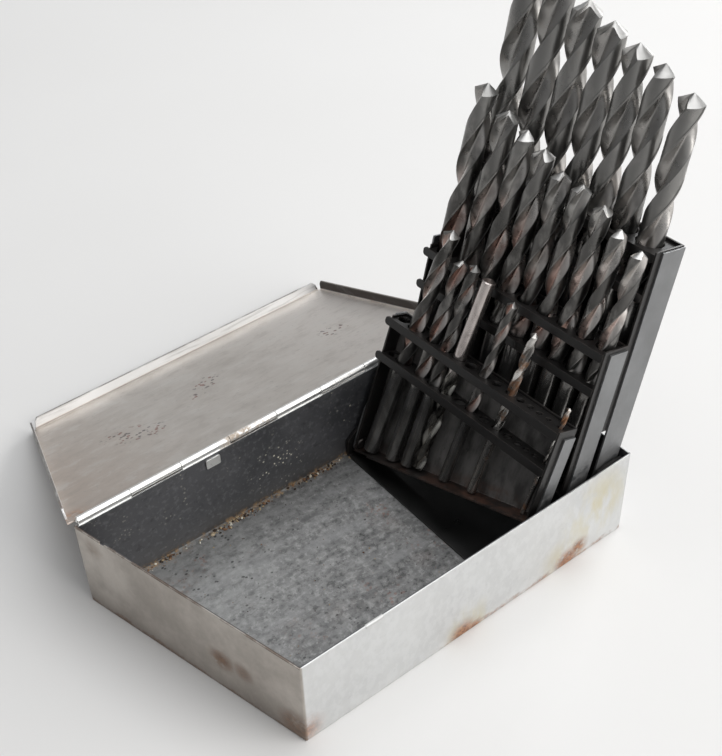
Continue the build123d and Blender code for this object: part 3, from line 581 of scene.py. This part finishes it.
# y at the shelves, diameter, length, sideways lean in degrees, point down, distance below the point at which a flute
# lies on the left outline
ROWS = {
    "front": [(91.6, 7.14, 110.5, -4.2, False, 9.0), (80.6, 6.35, 98.0, -2.6, False, 18.0), (72.6, 5.95, 96.8, -1.6, False, 4.0),
              (65.4, 5.56, 93.2, -3.4, True, 12.0), (50.6, 4.76, 86.5, -3.2, False, 7.0), (36.0, 3.97, 76.4, -3.0, False, 3.0),
              (9.6, 1.98, 50.8, -3.6, False, 2.0)],
    "middle": [(96.4, 9.92, 132.5, -0.4, False, 9.5), (84.4, 9.53, 127.0, -1.6, False, 20.0), (72.7, 9.13, 123.8, -1.2, False, 4.0),
               (61.4, 8.73, 120.7, -0.4, False, 13.0), (50.5, 8.33, 116.6, 0.0, False, 23.5), (40.0, 7.94, 116.2, 0.0, False, 20.7),
               (29.9, 7.54, 113.2, -1.4, False, 14.6), (20.2, 7.14, 108.4, -1.6, False, 25.5), (10.8, 6.75, 105.3, -3.2, False, 22.3)],
    "back": [(95.1, 12.70, 152.4, 1.2, False, 12.0), (80.6, 12.30, 149.2, 1.2, False, 26.0), (66.5, 11.91, 146.0, 1.2, False, 23.5),
             (52.9, 11.51, 142.9, 1.6, False, 19.4), (39.7, 11.11, 139.7, 1.8, False, 12.9), (26.9, 10.72, 137.0, 2.0, False, 5.0),
             (14.4, 10.32, 132.2, 0.5, False, 9.4)],
}

# cross-section over half a turn: angle, radius as a fraction of the drill's. The land ends in the margin, which is
# the leading edge; the flute starts with the steep rake face and climbs to the heel of the next land.
LAND = [(a, 0.955) for a in (0.0, 11.0, 23.0, 35.0, 47.0, 59.0, 71.0)]
MARGIN = [(72.5, 1.0), (76.0, 1.0), (80.0, 1.0)]
FLUTE = [(83.0, 0.84), (87.0, 0.69), (93.0, 0.53), (101.0, 0.40), (112.0, 0.325), (124.0, 0.315), (136.0, 0.36), (148.0, 0.46),
         (159.0, 0.60), (168.0, 0.75), (175.5, 0.89)]
HALF = [(a, r, 0.0, 0.0, 0.0) for a, r in LAND] + [(a, r, 0.0, 1.0, 0.0) for a, r in MARGIN] + \
       [(a, r, min(1.0, (0.98 - r) / 0.30), 0.0, min(1.0, max(0.0, (a - 124.0) / 30.0))) for a, r in FLUTE]
SECTION = [(math.radians(a + turn), r, f, g, e) for turn in (0.0, 180.0) for a, r, f, g, e in HALF]
LIP_ANGLE = math.radians(80.0)
FLUTE_ANGLE = math.radians(131.0)
HELIX = {"front": 24.5, "middle": 24.7, "back": 28.9}
POINT_SLOPE = math.tan(math.radians(31.0))
RELIEF = math.tan(math.radians(12.0))


def drill_mesh(name, R, L, facing, pinch, shank_frac=0.36, helix=25.0, mats=("drill_steel",)):
    """A twist drill along +Z with its shank's end at 0 and its point at L: right-hand flutes, two ground facets.
    A flute looks in the direction `facing` at the distance `pinch` below the point."""
    pitch = 2 * math.pi * R / math.tan(math.radians(helix))
    z0 = L * shank_frac                     # flutes run out here
    turn = facing - FLUTE_ANGLE - 2 * math.pi * (L - pinch - z0) / pitch
    fade = min(5.0 * R, (L - z0) * 0.3)
    n = len(SECTION)
    bm = bmesh.new()
    fl = bm.verts.layers.float.new("flute")
    mg = bm.verts.layers.float.new("margin")
    sh = bm.verts.layers.float.new("shank")
    he = bm.verts.layers.float.new("heel")
    tp = bm.faces.layers.float.new("tip")

    def behind(th):
        """How far behind its cutting lip a direction lies, as an angle."""
        return (LIP_ANGLE - th) % math.pi

    def point_z(th, r):
        return L - POINT_SLOPE * r - RELIEF * r * behind(th)

    def vert(th, r, z, f=0.0, g=0.0, s=0.0, e=0.0):
        ang = th + turn + 2 * math.pi * (max(z, z0) - z0) / pitch
        v = bm.verts.new((r * math.cos(ang), r * math.sin(ang), z))
        v[fl], v[mg], v[sh], v[he] = f, g, s, e
        return v

    ch = min(0.0004, R * 0.2)
    rings = []
    for r, z in ((R - ch, 0.0), (R, ch), (R, z0 * 0.5), (R, z0 - fade * 0.15)):
        rings.append([vert(th, r, z, s=1.0) for th, _, _, _, _ in SECTION])
    nz = max(30, int((L - z0) / pitch * 30))
    for i in range(nz + 1):
        k = i / nz
        row = []
        for th, rr, f, g, e in SECTION:
            b = min(1.0, max(0.0, k * (L - z0) / fade))
            b = b * b * (3 - 2 * b)
            r = R * (1 + (rr - 1) * b)
            top = point_z(th, r)
            row.append(vert(th, r, z0 + (top - z0) * k, f * b, g * b, 1.0 - min(1.0, b * 3), e * b))
        rings.append(row)
    side = len(rings)
    for k in (0.75, 0.5, 0.25):
        row = []
        for th, rr, f, g, e in SECTION:
            r = R * rr * k
            row.append(vert(th, r, point_z(th, r)))
        rings.append(row)
    for q, (a, b) in enumerate(zip(rings, rings[1:])):
        for i in range(n):
            j = (i + 1) % n
            face = bm.faces.new((a[i], a[j], b[j], b[i]))
            face[tp] = 1.0 if q >= side - 1 else 0.0
    c0 = bm.verts.new((0, 0, 0))
    c0[sh] = 1.0
    c1 = bm.verts.new((0, 0, L))
    for i in range(n):
        j = (i + 1) % n
        bm.faces.new((rings[0][j], rings[0][i], c0))
        face = bm.faces.new((rings[-1][i], rings[-1][j], c1))
        face[tp] = 1.0
    for f in bm.faces:
        f.smooth = True
    me = bpy.data.meshes.new(name)
    bm.to_mesh(me)
    bm.free()
    me.set_sharp_from_angle(angle=math.radians(34))
    ob = bpy.data.objects.new(name, me)
    bpy.context.scene.collection.objects.link(ob)
    for mn in mats:
        me.materials.append(MATS[mn])
    return ob


OX, OY = -0.081, -0.0535
for rack, r in RACKS.items():
    lean = math.radians(r["lean"])
    n_dir = Vector((-math.cos(lean), 0, math.sin(lean)))
    u_dir = Vector((math.sin(lean), 0, math.cos(lean)))
    mid_u = (r["up"] + r["low"]) / 2 - 0.0005

    def lip(y, r=r):
        return r["lip_near"] + (r["lip_far"] - r["lip_near"]) * (y - NEAR_Y) / (FAR_Y - NEAR_Y)

    for i, (y, d, length, side, flip, pinch) in enumerate(ROWS[rack]):
        y, d, length, pinch = y / 1000, d / 1000, length / 1000, pinch / 1000
        rad = d / 2
        s = math.radians(side)
        t = math.tan(s)
        foot_u = mid_u
        for _ in range(20):
            y_foot = y + (foot_u - mid_u) * t
            if flip:
                foot_u = lip(y_foot) + 0.0006
            else:
                foot_u = max(lip(y_foot - rad), lip(y_foot + rad)) + 0.00025 + rad * abs(math.sin(s))
        y_foot = y + (foot_u - mid_u) * t
        axis = (Vector((0, 1, 0)) * math.sin(s) + u_dir * math.cos(s)).normalized()
        foot = Vector((r["px"] + OX, y_foot + OY, r["pz"])) + u_dir * foot_u + n_dir * r["row"]
        mats = ("drill_steel",)
        if rack == "front" and i == 5:
            mats = ("bright",)
        if rack == "front" and i in (3, 6):
            mats = ("shank",) if i == 3 else ("bright",)
        node = "drill_%s_%d" % (rack, i + 1)
        if flip:
            q = (-axis).to_track_quat("Z", "Y")
            origin = foot + axis * length
        else:
            q = axis.to_track_quat("Z", "Y")
            origin = foot
        view = (foot + axis * length * 0.8 - cam.matrix_world.translation).normalized()
        left = axis.cross(view).normalized()
        if left.dot(right) > 0:
            left = -left
        local = q.inverted() @ left
        ob = drill_mesh("fluted_" + node, rad, length, math.atan2(local.y, local.x), pinch, mats=mats, helix=HELIX[rack],
                        shank_frac=0.42 if flip else 0.36)
        M = Matrix.Translation(origin) @ q.to_matrix().to_4x4()
        ob.data.transform(M)
        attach(ob, "rack_" + rack)
        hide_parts(node)

# ------------------------------------------------------------------ rust crumbs along the tray's inner joints
rnd = random.Random(7)
bm = bmesh.new()


tint_layer = bm.verts.layers.float.new("tint")


def crumb(bm, c, size):
    ret = bmesh.ops.create_icosphere(bm, subdivisions=1, radius=size)
    sc = (rnd.uniform(0.7, 1.3), rnd.uniform(0.7, 1.3), rnd.uniform(0.35, 0.8))
    rz = rnd.uniform(0, 6.28)
    tint = rnd.random()
    for v in ret["verts"]:
        p = Vector(v.co) * (1 + rnd.uniform(-0.25, 0.25))
        p = Vector((p.x * sc[0], p.y * sc[1], p.z * sc[2]))
        p.rotate(Matrix.Rotation(rz, 3, "Z"))
        v.co = p + Vector(c)
        v[tint_layer] = tint


FLOOR_Z = 0.0008
placed = 0
while placed < 620:
    which = rnd.random()
    if which < 0.62:                # along the hinge wall
        heap = rnd.random()
        if heap < 0.36:
            x = rnd.gauss(0.004, 0.005)
        elif heap < 0.74:
            x = rnd.gauss(-0.040, 0.008)
        elif heap < 0.84:
            x = rnd.gauss(-0.076, 0.004)
        else:
            x = rnd.uniform(-0.104, 0.020)
        y = 0.0525 - abs(rnd.gauss(0, 0.0014)) - 0.0003
    elif which < 0.80:              # along the slanted wall
        y = rnd.uniform(-0.050, 0.050)
        x = -0.081 - 0.2617 * (y + 0.0535) + 0.0015 + abs(rnd.gauss(0, 0.002))
    else:                           # loose on the floor
        x = rnd.uniform(-0.085, 0.010)
        y = rnd.uniform(-0.045, 0.048)
        if x < -0.081 - 0.2617 * (y + 0.0535) + 0.004:
            continue
    size = min(0.0010, abs(rnd.gauss(0.00010, 0.00028)) + 0.00010)
    if which >= 0.80:
        size *= 0.55
    crumb(bm, (x, y, FLOOR_Z + size * 0.25), size)
    placed += 1
me = bpy.data.meshes.new("rust_crumbs")
bm.to_mesh(me)
bm.free()
crumbs = bpy.data.objects.new("rust_crumbs", me)
bpy.context.scene.collection.objects.link(crumbs)
me.materials.append(crumb_material())
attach(crumbs, "tray")

# ------------------------------------------------------------------ floor and light
bm = bmesh.new()
bmesh.ops.create_grid(bm, x_segments=2, y_segments=2, size=4.0)
me = bpy.data.meshes.new("studio_floor")
bm.to_mesh(me)
bm.free()
floor = bpy.data.objects.new("studio_floor", me)
floor.location = (0, 0, -0.0001)
bpy.context.scene.collection.objects.link(floor)
me.materials.append(floor_material())

world = bpy.data.worlds.new("studio")
bpy.context.scene.world = world
world.use_nodes = True
wt = world.node_tree
bg = wt.nodes["Background"]
# pale all round, brighter to the front and the right
gen = wt.nodes.new("ShaderNodeTexCoord")
dot = wt.nodes.new("ShaderNodeVectorMath")
dot.operation = "DOT_PRODUCT"
dot.inputs[1].default_value = (0.80, -0.50, 0.33)
wt.links.new(gen.outputs["Generated"], dot.inputs[0])
fall = wt.nodes.new("ShaderNodeMapRange")
fall.interpolation_type = "SMOOTHSTEP"
fall.inputs["From Min"].default_value = -0.7
fall.inputs["From Max"].default_value = 0.8
fall.inputs["To Min"].default_value = 0.17
fall.inputs["To Max"].default_value = 0.56
wt.links.new(dot.outputs["Value"], fall.inputs["Value"])
wt.links.new(fall.outputs[0], bg.inputs[1])
bg.inputs[0].default_value = (0.96, 0.98, 1.0, 1)


def area(name, loc, target, size, power, color=(1, 1, 1)):
    l = bpy.data.lights.new(name, "AREA")
    l.shape = "RECTANGLE"
    l.size, l.size_y = size
    l.energy = power
    l.color = color
    o = bpy.data.objects.new(name, l)
    o.location = loc
    o.rotation_euler = (Vector(target) - Vector(loc)).to_track_quat("-Z", "Y").to_euler()
    bpy.context.scene.collection.objects.link(o)
    return o


area("window", (0.75, -1.4, 1.0), (0, 0, 0.05), (1.6, 1.2), 25, (1.0, 0.99, 0.97))
area("overhead", (0.3, 0.1, 1.8), (0, 0, 0), (1.6, 1.6), 15, (0.98, 0.99, 1.0))
area("side", (1.3, 0.4, 0.60), (0.05, 0, 0.1), (0.5, 0.6), 6, (1.0, 1.0, 1.0))
